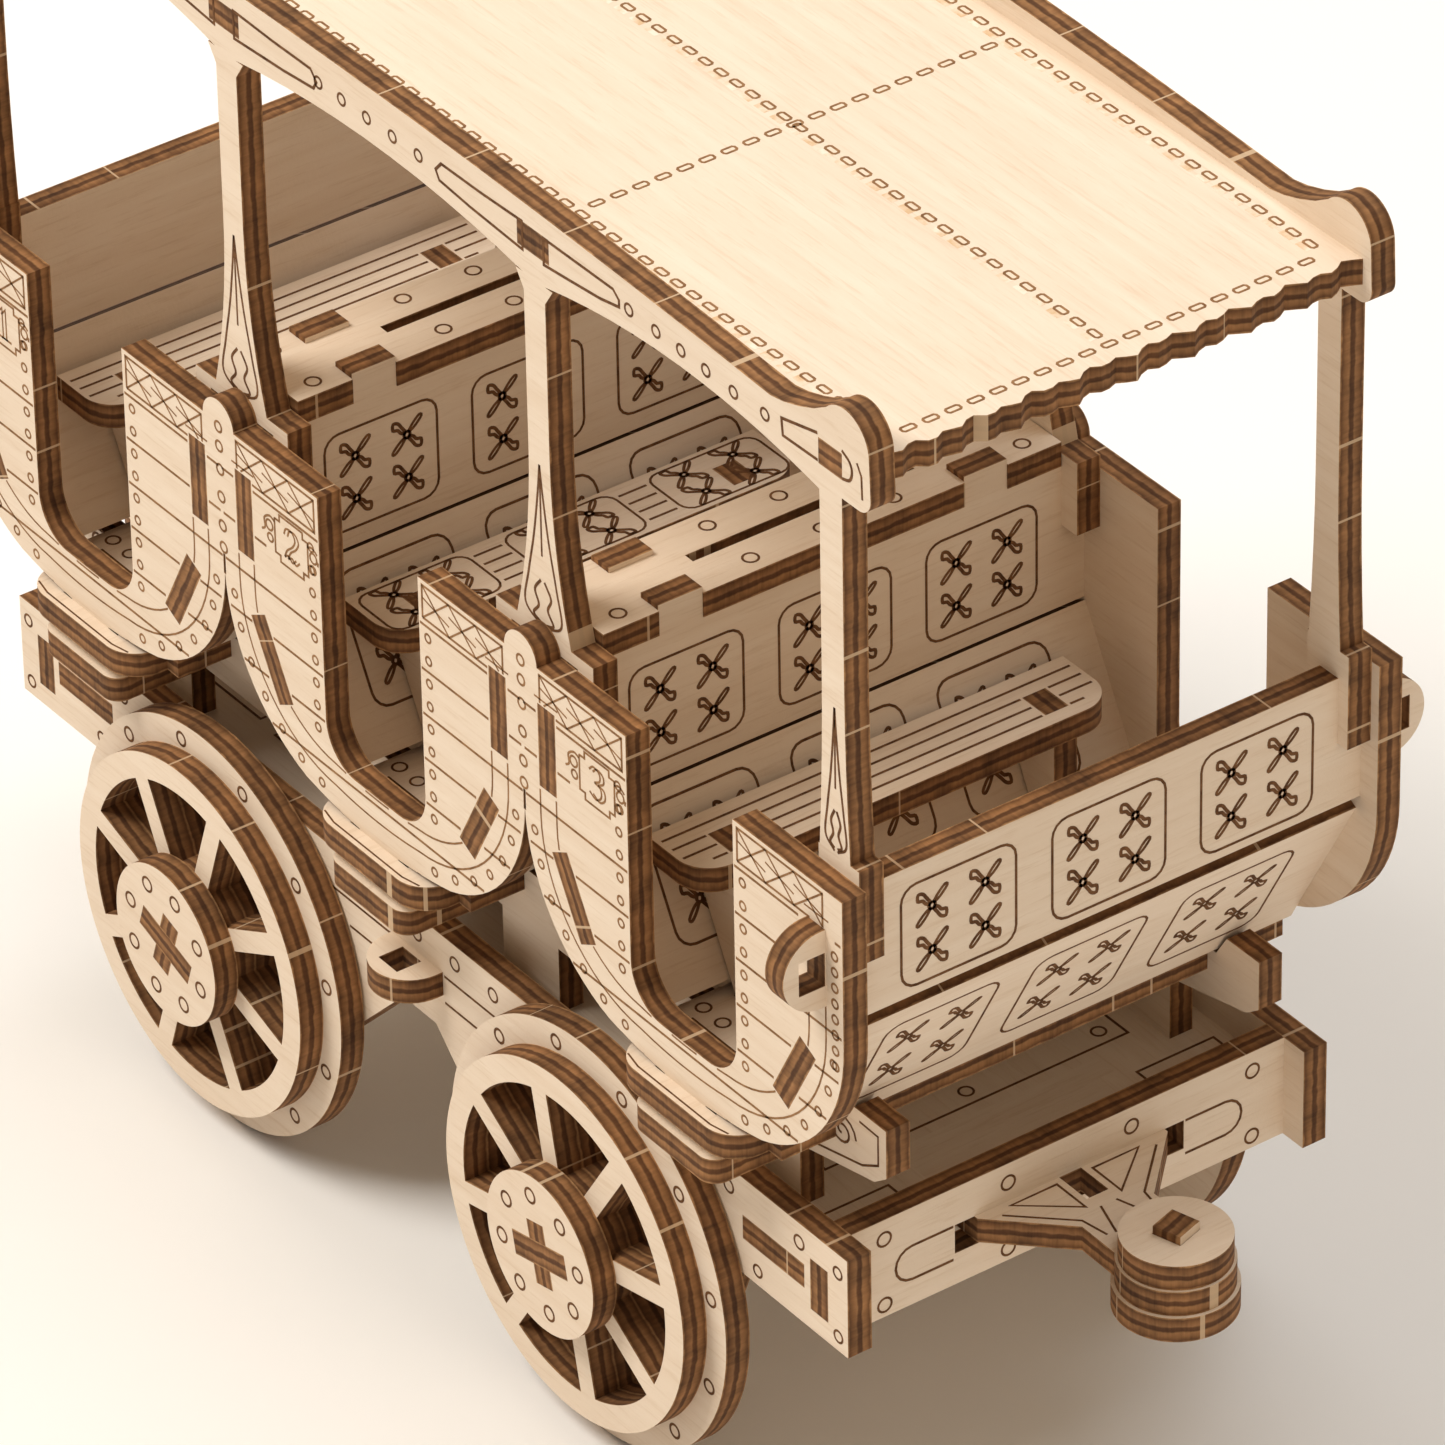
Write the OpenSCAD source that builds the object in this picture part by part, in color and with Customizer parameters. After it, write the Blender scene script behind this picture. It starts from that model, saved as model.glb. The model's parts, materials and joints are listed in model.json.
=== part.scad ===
// Open-sided railway coach model, built from laser-cut plywood sheets.
// +X is the coupled front end, +Z is up, and the wheel flanges rest on z = 0.

/* [Sheet] */
// Thickness of the plywood sheet that every piece is cut from
ply = 3; // [2.9:0.05:3.1]

/* [Body] */
// Spacing of the three compartments along the coach
pitch = 54; // [53:0.5:55]
// Height of the top edge of the side panels
panel_top = 92.8; // [92:0.1:94]
// Height where the flat panel band gives way to the curved boat shape
boat_band_z = 75; // [74.5:0.1:75.5]
// Distance from the middle of the coach to the inner face of a side panel
panel_in = 32; // [31.9:0.05:32.1]
// Half width of a door opening
door_half = 9; // [8.6:0.1:9.4]
// Height of the bottom of a door opening
door_sill = 60.4; // [60:0.1:61]

/* [Seats] */
// Height of the underside of a seat board
seat_z = 69.3; // [69:0.1:69.5]
// Tilt of the lower backrest boards from vertical
board_tilt = 28; // [27:0.5:29]
// Half gap between the two backrests that stand back to back
back_gap = 2.75; // [2.5:0.05:3]

/* [Chassis] */
// Distance from the middle of the coach to the inner face of a side beam
beam_in = 27.7; // [27.6:0.05:27.7]
// Half length of the side beams
beam_half = 75.3; // [75:0.1:76]
// Height of the lower edge of the side beams
beam_z = 31.5; // [31:0.1:31.5]
// Height of the side beams
beam_h = 12.2; // [12:0.1:12.4]
// Height of the underside of the chassis deck
deck_z = 36; // [36:0.1:36.1]

/* [Wheels] */
// Distance from the middle of the coach to each axle
axle_x = 34.5; // [34:0.1:35]
// Radius of the wheel flange
flange_r = 24.3; // [24:0.1:24.3]
// Radius of the wheel tread
tread_r = 21; // [20.5:0.1:21.3]
// Inside radius of the wheel rim
rim_r = 17.9; // [17.5:0.1:18]
// Number of spokes
spokes = 8; // [6:1:10]
// Radial running clearance of an axle in its hole
axle_play = 0.07; // [0.05:0.01:0.09]
// How far round the front wheelset stands, in degrees
front_turn = 12; // [0:1:45]
// How far round the rear wheelset stands, in degrees
rear_turn = -19; // [-45:1:0]

/* [Roof] */
// Height of the underside of the roof deck
roof_z = 139.2; // [139:0.1:139.4]
// Distance from the middle of the coach to the inner face of an arcade
arcade_in = 29; // [28.9:0.05:29]

/* [Coupling] */
// Distance from the middle of the coach to a coupling pin
coupling_x = 89.5; // [89:0.1:91]
// Side of the square coupling pin
pin_side = 3.4; // [3.3:0.05:3.4]
// Clearance on each side of the coupling pin in its hole
pin_play = 0.06; // [0.05:0.01:0.1]

/* [Hidden] */
$fn = 64;
eps = 0.01;
SIDES = [-1, 1];
COMPARTMENTS = [-pitch, 0, pitch];
BOUNDARIES = [-pitch / 2, pitch / 2];
AXLES = [-axle_x, axle_x];
BLONDE = [0.93, 0.82, 0.66];

panel_out = panel_in + ply;
arcade_out = arcade_in + ply;
beam_out = beam_in + ply;
deck_top = deck_z + ply;

// Boat-shaped lower edge of a panel
boat_z = 54.5;
boat_keel_r = 60;
boat_side_r = 20;
bump_r = 2.8;

// Upright boards across the body
back_top = 93;
back_bottom = 75.6;
back_in = back_gap;
back_out = back_gap + ply;
tenon_z = 78.5;
tenon_h = 10.1;
end_board_x = 75.25;
end_board_top = 91.2;
end_tab_z = 83.5;
end_tab_r = 4.6;
end_tab_y = panel_out + 0.6;

// Top plates that cap each pair of backrests
cap_half_x = 5.9;
cap_half_y = arcade_in - 0.1;
cap_tab_y = 16.5;
cap_tab_w = 5.5;

// Slanted lower boards
slant_x = 18.7;
slant_z = 67.6;
slant_down = 13.8;
slant_up = 7.9;
slant_tenon = 5;

// Floor plates and steps
floor_z = boat_z - ply;
floor_half = 12.2;
step_half = 10.1;
step_out = 37;
step_r = 4;
floor_tab = 3.5;
step_support_half = 7;
step_support_tab = 3;
step_support_r = 2;

// Seats and their legs
seat_front = 8.5;
seat_back = 17.75;
seat_half_y = 26.5;
leg_y = 18.5;
leg_tenon_x = 10.2;
leg_tenon_w = 4;
leg_slot_x = 9.1;
leg_slot_w = 2.2;

// Bolsters that carry the floors above the deck
bolster_in = 22.2;
bolster_low = 47.2;
bolster_feet = [[-60, 10], [-18, 10], [8, 10], [50, 10]];
riser_z = 54.3;

// Chassis
end_beam_x = 69;
end_beam_tab = [beam_z + 2.5, beam_z + 8.9];
beam_top = beam_z + beam_h;
lobe_z = 14;
axle_z = flange_r;
axle_w = 9.5;
axle_hub_w = 7.6;
axle_r = sqrt(pow(axle_w / 2, 2) + pow(ply / 2, 2));
axle_hole_r = axle_r + axle_play;
flange_y = beam_out + 0.3;
tread_y = flange_y + ply;
hub_y = tread_y + ply;
axle_end = hub_y + ply;
hub_r = 9.4;
hub_core_r = 8.2;
spoke_w = 2.6;
deck_tab_x = 57.5;
deck_tab_w = 10.5;
side_tab_r = 4.6;
side_tab_y = beam_out + 0.9;

// Roof
beam_foot_z = 136.3;
beam_crown_z = 144.8;
beam_crown_r = 1200;
soffit_rise = 2.1;
end_soffit_rise = 2.4;
post_slot_top = 94.5;
end_post_x = 75.9;
scroll_x = 78.2;
scroll_z = 143.6;
scroll_r = 3.9;
roof_half_x = 80.6;
ROOF_TABS = [[pitch / 2, 5.4], [end_post_x, 3.8]];
wave_depth = 0.4;

// Coupling
tongue_root = 12.2;
tongue_key = 14.2;
head_r = 6.2;
disc_top_r = 5.9;
disc_low_r = 6.6;
pin_turn = 17;
pin_bottom = deck_z - ply - 1.5;
pin_top = deck_top + ply + 1;

// ---- sheet helpers: each takes an outline and gives it the thickness of the ply ----

// Outline drawn as (x, z), standing along the coach with its near face at y0
module sheet_xz(y0) {
    translate([0, y0 + ply, 0]) rotate([90, 0, 0]) linear_extrude(ply) children();
}

// The same, on the right side (-Y) or the left side (+Y), with its inner face at y_in
module side_sheet(side, y_in) {
    sheet_xz(side < 0 ? -y_in - ply : y_in) children();
}

// Outline drawn as (y, z), standing across the coach from x0 to x0 + ply
module sheet_yz(x0) {
    translate([x0, 0, 0]) rotate([90, 0, 90]) linear_extrude(ply) children();
}

// Outline drawn as (x, y), lying flat from z0 to z0 + ply
module sheet_xy(z0) {
    translate([0, 0, z0]) linear_extrude(ply) children();
}

// Rectangle from a low corner to a high corner
module box2(low, high) {
    translate(low) square(high - low);
}

// Rectangle with round corners, made from squares and circles
module round_box2(low, high, r) {
    box2(low + [r, 0], high - [r, 0]);
    box2(low + [0, r], high - [0, r]);
    for (x = [low[0] + r, high[0] - r], y = [low[1] + r, high[1] - r]) translate([x, y]) circle(r);
}

// Space under a flat arc that starts at (x0, z) and (x1, z) and rises in the middle
module arch2(x0, x1, z, rise, down) {
    half = (x1 - x0) / 2;
    r = (half * half + rise * rise) / (2 * rise);
    intersection() {
        translate([(x0 + x1) / 2, z + rise - r]) circle(r, $fn = 256);
        box2([x0, z - down], [x1, z + rise]);
    }
}

// ---- body ----

module boat2() {
    box2([-pitch / 2, boat_band_z], [pitch / 2, panel_top]);
    intersection() {
        translate([0, boat_z + boat_keel_r]) circle(boat_keel_r, $fn = 256);
        box2([-pitch / 2, boat_z], [pitch / 2, boat_band_z + eps]);
        union() {
            for (s = SIDES) translate([s * (pitch / 2 - boat_side_r), boat_band_z]) circle(boat_side_r);
            box2([-pitch / 2 + boat_side_r, boat_z], [pitch / 2 - boat_side_r, boat_band_z + eps]);
        }
    }
}

module door2() {
    sill_r = 5;
    box2([-door_half, door_sill + sill_r], [door_half, panel_top + 1]);
    box2([-door_half + sill_r, door_sill], [door_half - sill_r, panel_top + 1]);
    for (s = SIDES) translate([s * (door_half - sill_r), door_sill + sill_r]) circle(sill_r);
}

module slant2(low, high) {
    translate([slant_x, slant_z]) rotate(-board_tilt) box2([-ply / 2, low], [ply / 2, high]);
}

module panel_outline() {
    slit_half = 0.2;
    difference() {
        union() {
            for (x = COMPARTMENTS) {
                translate([x, 0]) boat2();
                box2([x - floor_tab, floor_z], [x + floor_tab, boat_z + 1]);
            }
            for (x = BOUNDARIES) translate([x, panel_top]) circle(bump_r);
        }
        for (x = COMPARTMENTS) translate([x, 0]) {
            door2();
            for (s = SIDES) scale_x(s) slant2(-slant_tenon, slant_tenon);
        }
        for (x = BOUNDARIES) translate([x, 0]) {
            for (s = SIDES) scale_x(s) box2([back_in, tenon_z], [back_out, tenon_z + tenon_h]);
            box2([-slit_half, boat_band_z - 1], [slit_half, boat_band_z + 1.5]);
        }
        for (s = SIDES) scale_x(s) {
            box2([end_board_x, end_tab_z - end_tab_r], [end_board_x + ply, end_tab_z + end_tab_r]);
        }
    }
}

// Mirrors its children across x = 0 when s is -1
module scale_x(s) {
    mirror([s < 0 ? 1 : 0, 0, 0]) children();
}

module side_panel(side) {
    color(BLONDE) side_sheet(side, panel_in) panel_outline();
}

module floor_plate(x) {
    notch = 1.8;
    panel_mid = panel_in + ply / 2;
    color(BLONDE) sheet_xy(floor_z) translate([x, 0]) difference() {
        union() {
            box2([-floor_half, -panel_in], [floor_half, panel_in]);
            round_box2([-step_half, -step_out], [step_half, step_out], step_r);
        }
        for (s = SIDES) {
            box2([-floor_tab, s * panel_mid - ply / 2], [floor_tab, s * panel_mid + ply / 2]);
            for (t = SIDES) {
                polygon([[t * floor_tab, s * (panel_in + 1)], [t * floor_tab, s * panel_out],
                    [t * (floor_tab + notch), s * panel_out]]);
                translate([t * leg_slot_x, s * (leg_y + ply / 2)]) square([leg_slot_w, ply], center = true);
            }
        }
    }
}

// ---- upright and slanted boards ----

module end_board(side) {
    hole = [3.2, 4];
    hole_y = panel_out + 1.7;
    hole_z = 83.4;
    color(BLONDE) scale_x(side) sheet_yz(end_board_x) difference() {
        union() {
            box2([-panel_in, back_bottom], [panel_in, end_board_top]);
            for (s = SIDES) {
                translate([s * end_tab_y, end_tab_z]) circle(end_tab_r);
                box2([min(s * end_tab_y, s * panel_in), end_tab_z - end_tab_r],
                    [max(s * end_tab_y, s * panel_in), end_tab_z + end_tab_r]);
            }
        }
        for (s = SIDES) translate([s * hole_y, hole_z]) square(hole, center = true);
    }
}

// A board in the slanted plane of one side of a compartment
module slanted_board(x, side) {
    color(BLONDE) translate([x, 0, 0]) scale_x(side) {
        side_span(panel_in) slant2(-slant_down, slant_up);
        side_span(panel_out) slant2(-slant_tenon, slant_tenon);
    }
}

// Runs an (x, z) outline right across the coach, from -half to +half
module side_span(half) {
    translate([0, half, 0]) rotate([90, 0, 0]) linear_extrude(half * 2) children();
}

// Backrest on one side of a boundary between compartments
module backrest(x, side) {
    color(BLONDE) sheet_yz(side < 0 ? x - back_out : x + back_in) {
        box2([-panel_in, back_bottom], [panel_in, back_top]);
        box2([-panel_out, tenon_z], [panel_out, tenon_z + tenon_h]);
        for (s = SIDES) translate([s * (cap_tab_y + cap_tab_w / 2), back_top - 1 + (ply + 0.6) / 2])
            square([cap_tab_w, ply + 2.6], center = true);
    }
}

module top_plate(x) {
    slot_half = 0.7;
    slot_y = 14;
    color(BLONDE) sheet_xy(back_top) translate([x, 0]) difference() {
        box2([-cap_half_x, -cap_half_y], [cap_half_x, cap_half_y]);
        for (s = SIDES, t = SIDES) translate([s * (back_in + ply), t * (cap_tab_y + cap_tab_w / 2)])
            square([ply * 2, cap_tab_w], center = true);
        box2([-slot_half, -slot_y], [slot_half, slot_y]);
    }
}

// ---- seats ----

module seat(x, side) {
    corner_r = 4;
    color(BLONDE) sheet_xy(seat_z) translate([x, 0]) scale_x(side) difference() {
        union() {
            box2([seat_front + corner_r, -seat_half_y], [seat_back, seat_half_y]);
            box2([seat_front, -seat_half_y + corner_r], [seat_front + corner_r, seat_half_y - corner_r]);
            for (s = SIDES) translate([seat_front + corner_r, s * (seat_half_y - corner_r)]) circle(corner_r);
        }
        for (s = SIDES) translate([leg_tenon_x + leg_tenon_w / 2, s * (leg_y + ply / 2)])
            square([leg_tenon_w, ply], center = true);
    }
}

// Triangular leg under a seat, from the floor to the slanted board
module leg2() {
    toe = 8.2;
    heel = 9.7;
    knee = [16.5, 67.5];
    front = 8.8;
    polygon([[front, boat_z], [heel, boat_z], knee, [knee[0], seat_z], [front, seat_z]]);
    box2([leg_tenon_x, seat_z - 1], [leg_tenon_x + leg_tenon_w, seat_z + ply]);
    box2([leg_slot_x - leg_slot_w / 2, floor_z], [heel, boat_z]);
    box2([toe, boat_z], [heel, boat_z + 2]);
}

module seat_legs(x) {
    color(BLONDE) translate([x, 0, 0]) for (s = SIDES, t = SIDES)
        scale_x(s) side_sheet(t, leg_y) leg2();
}

// ---- chassis ----

module side_beam(side) {
    lobe = [[3, beam_z + 1], [3, beam_z], [20.5, lobe_z], [49, lobe_z], [56, beam_z], [56, beam_z + 1]];
    color(BLONDE) side_sheet(side, beam_in) difference() {
        union() {
            box2([-beam_half, beam_z], [beam_half, beam_top]);
            for (s = SIDES) scale_x(s) polygon(lobe);
        }
        for (x = AXLES) translate([x, axle_z]) circle(axle_hole_r);
        for (s = SIDES) scale_x(s) {
            box2([deck_tab_x, deck_z], [deck_tab_x + deck_tab_w, deck_top]);
            box2([end_beam_x, end_beam_tab[0]], [end_beam_x + ply, end_beam_tab[1]]);
        }
        box2([-side_tab_r, deck_z], [side_tab_r, deck_top]);
    }
}

module end_beam(side) {
    hole_half = 14.7;
    hole_z = 35.4;
    color(BLONDE) scale_x(side) sheet_yz(end_beam_x) difference() {
        union() {
            box2([-beam_in, beam_z], [beam_in, beam_top]);
            box2([-beam_out, end_beam_tab[0]], [beam_out, end_beam_tab[1]]);
        }
        box2([-hole_half, hole_z], [hole_half, deck_top]);
    }
}

module chassis_deck() {
    tab_hole = [3.4, 3.1];
    tab_hole_y = beam_out + 2.25;
    color(BLONDE) sheet_xy(deck_z) difference() {
        union() {
            box2([-end_beam_x, -beam_in], [end_beam_x, beam_in]);
            for (s = SIDES) {
                scale_x(s) box2([deck_tab_x, -beam_out], [deck_tab_x + deck_tab_w, beam_out]);
                translate([0, s * side_tab_y]) circle(side_tab_r);
            }
            box2([-side_tab_r, -side_tab_y], [side_tab_r, side_tab_y]);
        }
        for (s = SIDES) {
            translate([0, s * tab_hole_y]) square(tab_hole, center = true);
            scale_x(s) tongue_tail2();
            for (foot = bolster_feet) translate([foot[0] + foot[1] / 2, s * (bolster_in + ply / 2)])
                square([foot[1] - 4, ply], center = true);
        }
    }
}

// Longitudinal plate that stands on the deck and carries the three floors
module bolster(side) {
    nose_x = 61.6;
    nose = [[nose_x, bolster_low], [72.6, 49.6], [74.6, 51.1], [74.6, 57], [69.3, 57], [67.6, riser_z],
        [nose_x, riser_z]];
    color(BLONDE) side_sheet(side, bolster_in) difference() {
        union() {
            box2([-nose_x - eps, bolster_low], [nose_x + eps, floor_z]);
            for (s = SIDES) scale_x(s) {
                polygon(nose);
                box2([floor_half, floor_z - 1], [pitch - floor_half, riser_z]);
            }
            for (foot = bolster_feet) {
                box2([foot[0], deck_top], [foot[0] + foot[1], bolster_low + 1]);
                box2([foot[0] + 2, deck_z], [foot[0] + foot[1] - 2, deck_top + 1]);
            }
        }
        for (s = SIDES) scale_x(s)
            box2([pitch - floor_half, floor_z], [pitch + floor_half, floor_z + ply * 2]);
        for (x = COMPARTMENTS)
            box2([x - step_support_tab, bolster_low], [x + step_support_tab, bolster_low + ply]);
    }
}

// Pair of short plates under the steps of one compartment, tabbed into the bolsters
module step_support(x) {
    corner = [step_support_half - step_support_r, step_out - step_support_r];
    color(BLONDE) sheet_xy(bolster_low) translate([x, 0]) for (s = SIDES) mirror([0, s < 0 ? 1 : 0]) {
        box2([-step_support_tab, bolster_in], [step_support_tab, step_out]);
        box2([-step_support_half, bolster_in + ply], [step_support_half, corner[1]]);
        box2([-corner[0], corner[1] - eps], [corner[0], step_out]);
        for (t = SIDES) translate([t * corner[0], corner[1]]) circle(step_support_r);
    }
}

// ---- coupling ----

// Key-shaped tail that locks the tongue into the deck
module tongue_tail2() {
    box2([58, -tongue_key], [61, tongue_key]);
    box2([61 - eps, -tongue_root], [end_beam_x + eps, tongue_root]);
}

module pin_hole2() {
    rotate(pin_turn) square(pin_side + 2 * pin_play, center = true);
}

module coupler_tongue(side) {
    neck = [[end_beam_x, tongue_root], [72.5, tongue_root], [80, 4.6], [coupling_x, 4.7]];
    slot_half = 1.4;
    color(BLONDE) sheet_xy(deck_z) scale_x(side) difference() {
        union() {
            tongue_tail2();
            polygon(concat(neck, [for (i = [len(neck) - 1 : -1 : 0]) [neck[i][0], -neck[i][1]]]));
            translate([coupling_x, 0]) circle(head_r);
        }
        box2([end_beam_x + ply, -slot_half], [76.6, slot_half]);
        translate([coupling_x, 0]) pin_hole2();
    }
}

module coupler_discs(side) {
    color(BLONDE) scale_x(side) translate([coupling_x, 0, 0]) {
        sheet_xy(deck_top) difference() {
            circle(disc_top_r);
            pin_hole2();
        }
        sheet_xy(deck_z - ply) difference() {
            circle(disc_low_r);
            pin_hole2();
        }
    }
}

module coupling_pin() {
    color(BLONDE) translate([coupling_x, 0, pin_bottom]) rotate([0, 0, pin_turn])
        linear_extrude(pin_top - pin_bottom) square(pin_side, center = true);
}

// ---- roof ----

// A post that widens in a smooth flare from narrow at flare_top to wide at the shoulder
module post2(narrow, wide) {
    flare_top = 116;
    flare_drop = flare_top - post_slot_top;
    flare_r = (flare_drop * flare_drop + pow(wide - narrow, 2)) / (2 * (wide - narrow));
    box2([-narrow, flare_top - eps], [narrow, beam_foot_z + 1]);
    difference() {
        box2([-wide, post_slot_top - eps], [wide, flare_top]);
        for (s = SIDES) translate([s * (narrow + flare_r), flare_top]) circle(flare_r, $fn = 256);
    }
}

// Upswept end of the arcade, which finishes in a round scroll over a small toe
module scroll2() {
    toe = [80.4, 137.1];
    toe_r = 1.9;
    sweep = [[66, 142.9], [68.5, 143.35], [71.1, 144.15], [73.4, 145.1], [75.4, 146.3]];
    translate([scroll_x, scroll_z]) circle(scroll_r);
    translate([toe[0], toe[1] + toe_r]) circle(toe_r);
    polygon(concat([[end_post_x, beam_foot_z], [sweep[0][0], beam_foot_z]], sweep,
        [[scroll_x, scroll_z], [scroll_x + scroll_r, scroll_z], [toe[0] + toe_r, toe[1] + toe_r]],
        [toe, [77, toe[1]]]));
}

// Long low beam between the two scrolls, with a crown so flat that it looks nearly straight
module crown2() {
    crown_end = 72;
    intersection() {
        translate([0, beam_crown_z - beam_crown_r]) circle(beam_crown_r, $fn = 1440);
        box2([-crown_end, beam_foot_z], [crown_end, beam_crown_z + 1]);
    }
}

module arcade_outline() {
    post_half = 1.8;
    post_foot_half = 4.65;
    end_foot_half = 2.5;
    fillet = 2;
    prong = [8.4, 85.7];
    end_prong = [73.2, 79.8, 83.3];
    difference() {
        union() {
            crown2();
            for (s = SIDES) scale_x(s) {
                scroll2();
                translate([pitch / 2, 0]) {
                    post2(post_half, post_foot_half);
                    box2([-prong[0], prong[1]], [prong[0], post_slot_top]);
                    polygon([[-post_half - fillet, beam_foot_z + 1], [-post_half, beam_foot_z - fillet],
                        [post_half, beam_foot_z - fillet], [post_half + fillet, beam_foot_z + 1]]);
                }
                translate([end_post_x, 0]) post2(post_half, end_foot_half);
                box2([end_prong[0], end_prong[2]], [end_prong[1], post_slot_top]);
            }
        }
        arch2(-pitch / 2 + post_half, pitch / 2 - post_half, beam_foot_z, soffit_rise, 0);
        for (s = SIDES) scale_x(s) {
            arch2(pitch / 2 + post_half, end_post_x - post_half, beam_foot_z, end_soffit_rise, 0);
            translate([pitch / 2, 0]) box2([-back_out, prong[1] - 1], [back_out, back_top]);
            box2([end_board_x, end_prong[2] - 1], [end_board_x + ply, end_board_top]);
            roof_tabs2();
        }
    }
}

// The two roof tabs at one end of an arcade, seen from the side
module roof_tabs2() {
    for (tab = ROOF_TABS) box2([tab[0] - tab[1] / 2, roof_z], [tab[0] + tab[1] / 2, roof_z + ply]);
}

module arcade(side) {
    color(BLONDE) side_sheet(side, arcade_in) arcade_outline();
}

// The torn-canvas look of the roof's end edges
function edge_wave(y) = wave_depth * (sin(y * 103) + 0.6 * sin(y * 47 + 60));

module roof_deck() {
    edge = [for (y = [-arcade_in : 1 : arcade_in]) [roof_half_x + edge_wave(y), y]];
    color(BLONDE) sheet_xy(roof_z) {
        polygon(concat(edge, [for (p = edge) [-p[0], -p[1]]]));
        for (s = SIDES, tab = ROOF_TABS) scale_x(s)
            box2([tab[0] - tab[1] / 2, -arcade_out], [tab[0] + tab[1] / 2, arcade_out]);
    }
}

// ---- wheelsets ----

// Puts an outline drawn about the axle onto a wheelset, turned by turn
module on_axle(x, turn, side, y_in) {
    side_sheet(side, y_in) translate([x, axle_z]) rotate(turn) children();
}

module axle_cross2() {
    square([axle_w, ply], center = true);
    square([ply, axle_hub_w], center = true);
}

// Runs a piece of the axle, drawn about the axle, along y between two stations
module axle_run(x, turn, y0, y1) {
    translate([x, y1, axle_z]) rotate([90, 0, 0]) rotate(turn) linear_extrude(y1 - y0) children();
}

// The long strip is whole on the right half and slotted on the left half
module long_strip(x, turn) {
    color(BLONDE) difference() {
        axle_run(x, turn, -axle_end, axle_end) square([axle_w, ply], center = true);
        axle_run(x, turn, 0, axle_end + 1) square([ply, ply * 2], center = true);
    }
}

// The cross strip is slotted on the right half and steps in where it enters a wheel
module cross_strip(x, turn) {
    color(BLONDE) difference() {
        union() {
            axle_run(x, turn, -flange_y, flange_y) square([ply, axle_w], center = true);
            axle_run(x, turn, -axle_end, axle_end) square([ply, axle_hub_w], center = true);
        }
        axle_run(x, turn, -axle_end - 1, 0) square([ply * 2, ply], center = true);
    }
}

// Rim, spokes and hub of one wheel layer
module spoked2(outer_r) {
    difference() {
        union() {
            difference() {
                circle(outer_r, $fn = 128);
                circle(rim_r, $fn = 128);
            }
            for (i = [0 : spokes / 2 - 1])
                rotate(i * 360 / spokes) square([rim_r * 2 + 1, spoke_w], center = true);
            circle(hub_core_r);
        }
        axle_cross2();
    }
}

module hub_caps(x, turn) {
    color(BLONDE) for (s = SIDES) on_axle(x, turn, s, hub_y) difference() {
        circle(hub_r);
        axle_cross2();
    }
}

module tread(x, turn, side) {
    color(BLONDE) on_axle(x, turn, side, tread_y) spoked2(tread_r);
}

module flange(x, turn, side) {
    color(BLONDE) on_axle(x, turn, side, flange_y) spoked2(flange_r);
}

// ---- assembly ----

chassis_deck();
side_beam(-1);  // side_beam_right
side_beam(1);  // side_beam_left
end_beam(1);  // end_beam_front
end_beam(-1);  // end_beam_rear
bolster(-1);  // bolster_right
bolster(1);  // bolster_left
step_support(COMPARTMENTS[0]);  // step_support_1
step_support(COMPARTMENTS[1]);  // step_support_2
step_support(COMPARTMENTS[2]);  // step_support_3
coupler_tongue(1);  // coupler_tongue_front
coupler_tongue(-1);  // coupler_tongue_rear
coupler_discs(1);  // coupler_discs_front
coupler_discs(-1);  // coupler_discs_rear
coupling_pin();
floor_plate(COMPARTMENTS[0]);  // floor_1
floor_plate(COMPARTMENTS[1]);  // floor_2
floor_plate(COMPARTMENTS[2]);  // floor_3
side_panel(-1);  // side_panel_right
side_panel(1);  // side_panel_left
end_board(1);  // end_board_front
end_board(-1);  // end_board_rear
slanted_board(COMPARTMENTS[2], 1);  // end_lower_board_front
slanted_board(COMPARTMENTS[0], -1);  // end_lower_board_rear
backrest(BOUNDARIES[0], -1);  // backrest_1_front
backrest(BOUNDARIES[0], 1);  // backrest_2_rear
backrest(BOUNDARIES[1], -1);  // backrest_2_front
backrest(BOUNDARIES[1], 1);  // backrest_3_rear
slanted_board(COMPARTMENTS[0], 1);  // lower_board_1_front
slanted_board(COMPARTMENTS[1], -1);  // lower_board_2_rear
slanted_board(COMPARTMENTS[1], 1);  // lower_board_2_front
slanted_board(COMPARTMENTS[2], -1);  // lower_board_3_rear
top_plate(BOUNDARIES[0]);  // top_plate_rear
top_plate(BOUNDARIES[1]);  // top_plate_front
seat(COMPARTMENTS[0], -1);  // seat_1_rear
seat(COMPARTMENTS[0], 1);  // seat_1_front
seat(COMPARTMENTS[1], -1);  // seat_2_rear
seat(COMPARTMENTS[1], 1);  // seat_2_front
seat(COMPARTMENTS[2], -1);  // seat_3_rear
seat(COMPARTMENTS[2], 1);  // seat_3_front
seat_legs(COMPARTMENTS[0]);  // seat_legs_1
seat_legs(COMPARTMENTS[1]);  // seat_legs_2
seat_legs(COMPARTMENTS[2]);  // seat_legs_3
arcade(-1);  // arcade_right
arcade(1);  // arcade_left
roof_deck();
long_strip(axle_x, front_turn);  // front_axle_long_strip
cross_strip(axle_x, front_turn);  // front_axle_cross_strip
tread(axle_x, front_turn, -1);  // front_tread_right
tread(axle_x, front_turn, 1);  // front_tread_left
flange(axle_x, front_turn, -1);  // front_flange_right
flange(axle_x, front_turn, 1);  // front_flange_left
hub_caps(axle_x, front_turn);  // front_hub_caps
long_strip(-axle_x, rear_turn);  // rear_axle_long_strip
cross_strip(-axle_x, rear_turn);  // rear_axle_cross_strip
tread(-axle_x, rear_turn, -1);  // rear_tread_right
tread(-axle_x, rear_turn, 1);  // rear_tread_left
flange(-axle_x, rear_turn, -1);  // rear_flange_right
flange(-axle_x, rear_turn, 1);  // rear_flange_left
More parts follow.
